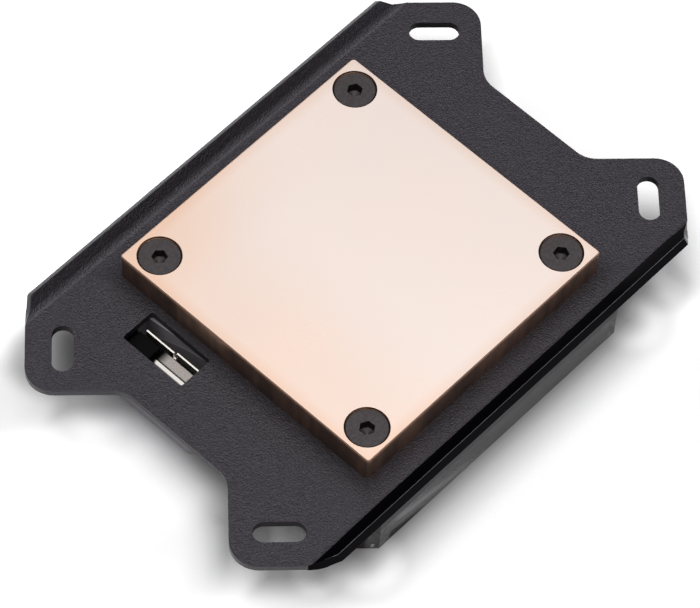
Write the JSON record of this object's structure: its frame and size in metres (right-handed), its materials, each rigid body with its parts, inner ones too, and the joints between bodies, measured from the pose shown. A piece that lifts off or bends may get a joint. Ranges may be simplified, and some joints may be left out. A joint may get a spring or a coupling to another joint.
{
  "type": "cpu water block",
  "caption": "Liquid cooling block for a processor: square copper cold plate on a black folded bracket with slotted ears, over a black body and dark clear cover.",
  "frame": {"origin": "middle of the cover's flat underside, the face it lies on as in the picture", "axes": "+Z out of the copper cold plate; +X along the bracket, away from the window; +Y across the bracket, towards the window's side"},
  "size_m": [0.11, 0.0742, 0.0224],
  "materials": {
    "copper": "lapped copper, bright top face, browned sides",
    "bracket_coat": "black powder coat with a fine grain",
    "black_screws": "black oxide",
    "insert_brass": "turned",
    "seal_rubber": "matte",
    "stainless": "rolled sheet",
    "body_plastic": "milled, satin",
    "cover_plastic": "dark clear plastic, polished edges",
    "housing_plastic": "moulded, satin",
    "board": "black solder mask",
    "plated_metal": "nickel plated",
    "insulator": "moulded",
    "contact_gold": "gold flash"
  },
  "bodies": {
    "root": {"cold_plate": "copper", "mounting_bracket": "bracket_coat", "base_screws": "black_screws", "screw_inserts": "insert_brass", "main_oring": "seal_rubber", "jet_plate": "stainless", "top_body": "body_plastic", "port_orings": "seal_rubber", "top_cover": "cover_plastic", "cover_screws": "black_screws", "side_housing": "housing_plastic", "housing_screws": "black_screws", "circuit_board": "board", "socket_shell": "plated_metal", "socket_core": "insulator", "pin_header": "insulator", "header_pins": "contact_gold", "shield_plate": "plated_metal"}
  },
  "joints": []
}
